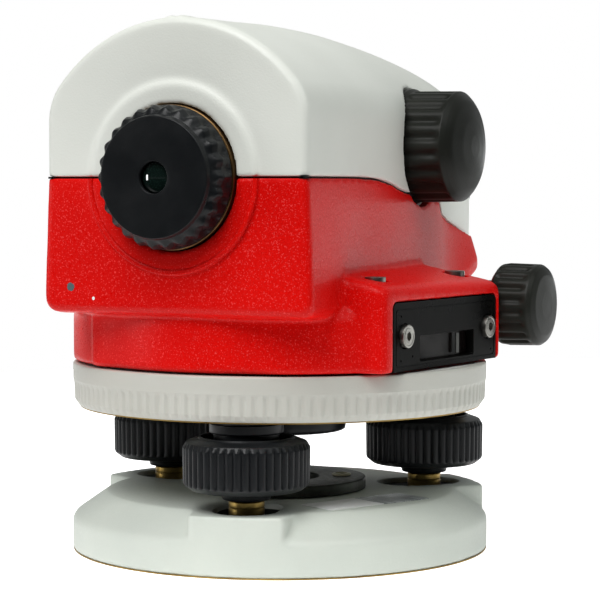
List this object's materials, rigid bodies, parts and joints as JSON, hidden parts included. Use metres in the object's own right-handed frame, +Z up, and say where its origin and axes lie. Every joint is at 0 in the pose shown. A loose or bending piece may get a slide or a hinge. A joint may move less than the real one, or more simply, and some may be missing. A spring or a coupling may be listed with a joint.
{
  "type": "automatic level",
  "caption": "Surveying level with a red lower housing, light grey cover, knurled focusing and drive knobs and a levelling base on footscrews.",
  "frame": {"origin": "centre of the bounding box's underside, on the seat plane of the base plate; the standing axis is 11 mm towards -Y from it", "axes": "+Z up along the standing axis, +Y along the line of sight towards the objective, +X towards the focusing knob side"},
  "size_m": [0.1258, 0.1582, 0.1426],
  "materials": {
    "grey_paint": "satin",
    "ring_grey": "satin",
    "cover_grey": "satin",
    "red_paint": "gloss",
    "black_grip": "matt",
    "black_metal": "satin",
    "dark_disc": "satin",
    "steel": "brushed",
    "brass": "turned",
    "bronze": "turned",
    "glass": "polished",
    "aluminium": "anodised",
    "level_liquid": "clear",
    "scale_white": "satin"
  },
  "bodies": {
    "base": {"base_plate": "grey_paint", "centre_disc": "dark_disc", "tripod_bush": "steel", "disc_rivet_1": "brass", "disc_rivet_2": "brass", "disc_rivet_3": "brass"},
    "footscrew_1": {"footscrew_knob_1": "black_grip", "footscrew_spindle_1": "brass"},
    "footscrew_2": {"footscrew_knob_2": "black_grip", "footscrew_spindle_2": "brass"},
    "footscrew_3": {"footscrew_knob_3": "black_grip", "footscrew_spindle_3": "brass"},
    "spring": {"tension_spring": "steel"},
    "head": {"levelling_head": "black_metal", "footscrew_bush_1": "black_metal", "footscrew_bush_2": "black_metal", "footscrew_bush_3": "black_metal", "worm_wheel": "bronze"},
    "circle": {"circle_ring": "ring_grey", "circle_scale": "scale_white"},
    "alidade": {"upper_cover": "cover_grey", "lower_housing": "red_paint", "standing_axis": "steel", "window_plate": "black_metal", "window_glass": "glass", "plate_screw_1": "steel", "plate_screw_2": "steel", "ledge_screw_1": "steel", "ledge_screw_2": "steel", "telescope_tube": "aluminium", "objective_ring": "black_metal", "objective_lens": "glass", "inner_lens": "glass", "compensator_frame": "aluminium", "erecting_prism": "glass", "reticle_mount": "black_metal", "reticle_glass": "glass", "eyepiece_sleeve": "bronze", "level_holder": "aluminium", "level_vial": "level_liquid", "level_ring": "black_metal", "focus_bush": "brass", "drive_bush_right": "brass", "drive_bush_left": "brass"},
    "focus_carriage": {"focus_carriage": "brass", "focusing_lens": "glass"},
    "focus_drive": {"focus_knob": "black_grip", "focus_shaft": "steel"},
    "eyepiece_grip": {"eyepiece_knob": "black_grip"},
    "eyepiece_optics": {"eyepiece_cell": "black_metal", "eye_lens": "glass", "field_lens": "glass"},
    "horizontal_drive": {"drive_shaft": "steel", "drive_knob_right": "black_grip", "drive_knob_left": "black_grip"},
    "pendulum": {"pendulum": "aluminium", "pendulum_prism": "glass"}
  },
  "joints": [
    {"name": "level_pitch", "type": "hinge", "parent": "base", "child": "spring", "pos_m": [-0.00569, 0.00953, 0.0055], "axis": [0.9636, 0.2672, 0], "range_deg": [-2, 2]},
    {"name": "level_roll", "type": "hinge", "parent": "spring", "child": "head", "pos_m": [0, -0.011, 0.0055], "axis": [0.2672, -0.9636, 0], "range_deg": [-2, 2]},
    {"name": "footscrew_1_turn", "type": "hinge", "parent": "base", "child": "footscrew_1", "pos_m": [0.01138, -0.05205, 0.02], "axis": [0, 0, 1], "range_deg": [-802, 802]},
    {"name": "footscrew_2_turn", "type": "hinge", "parent": "base", "child": "footscrew_2", "pos_m": [0.02986, 0.01938, 0.02], "axis": [0, 0, 1], "range_deg": [-463, 463]},
    {"name": "footscrew_3_turn", "type": "hinge", "parent": "base", "child": "footscrew_3", "pos_m": [-0.04124, -0.00033, 0.02], "axis": [0, 0, 1], "range_deg": [-463, 463]},
    {"name": "circle_turn", "type": "hinge", "parent": "head", "child": "circle", "pos_m": [0, -0.011, 0.0459], "axis": [0, 0, 1], "continuous": true},
    {"name": "azimuth_turn", "type": "hinge", "parent": "head", "child": "alidade", "pos_m": [0, -0.011, 0.06], "axis": [0, 0, 1], "continuous": true},
    {"name": "horizontal_drive_turn", "type": "hinge", "parent": "alidade", "child": "horizontal_drive", "pos_m": [0, 0.0274, 0.0659], "axis": [1, 0, 0], "continuous": true},
    {"name": "focus_turn", "type": "hinge", "parent": "alidade", "child": "focus_drive", "pos_m": [0.03, 0.0175, 0.1099], "axis": [1, 0, 0], "range_deg": [-184, 184]},
    {"name": "focus_slide", "type": "slide", "parent": "alidade", "child": "focus_carriage", "axis": [0, 1, 0], "range_m": [-0.008, 0.008]},
    {"name": "eyepiece_turn", "type": "hinge", "parent": "alidade", "child": "eyepiece_grip", "pos_m": [0, -0.073, 0.1011], "axis": [0, -1, 0], "range_deg": [-151, 151]},
    {"name": "eyepiece_slide", "type": "slide", "parent": "alidade", "child": "eyepiece_optics", "axis": [0, -1, 0], "range_m": [-0.00125, 0.00125]},
    {"name": "pendulum_swing", "type": "hinge", "parent": "alidade", "child": "pendulum", "pos_m": [0, -0.023, 0.1135], "axis": [1, 0, 0], "range_deg": [-0.6, 0.6]}
  ],
  "couplings": [
    {"joint": "level_pitch", "follows": "footscrew_1_turn", "ratio": 0.0024907},
    {"joint": "level_roll", "follows": "footscrew_2_turn", "ratio": 0.004314},
    {"joint": "footscrew_3_turn", "follows": "footscrew_2_turn", "ratio": -1},
    {"joint": "horizontal_drive_turn", "follows": "azimuth_turn", "ratio": 33},
    {"joint": "focus_turn", "follows": "focus_slide", "rad_per_m": 400},
    {"joint": "eyepiece_turn", "follows": "eyepiece_slide", "rad_per_m": 2094.4}
  ]
}
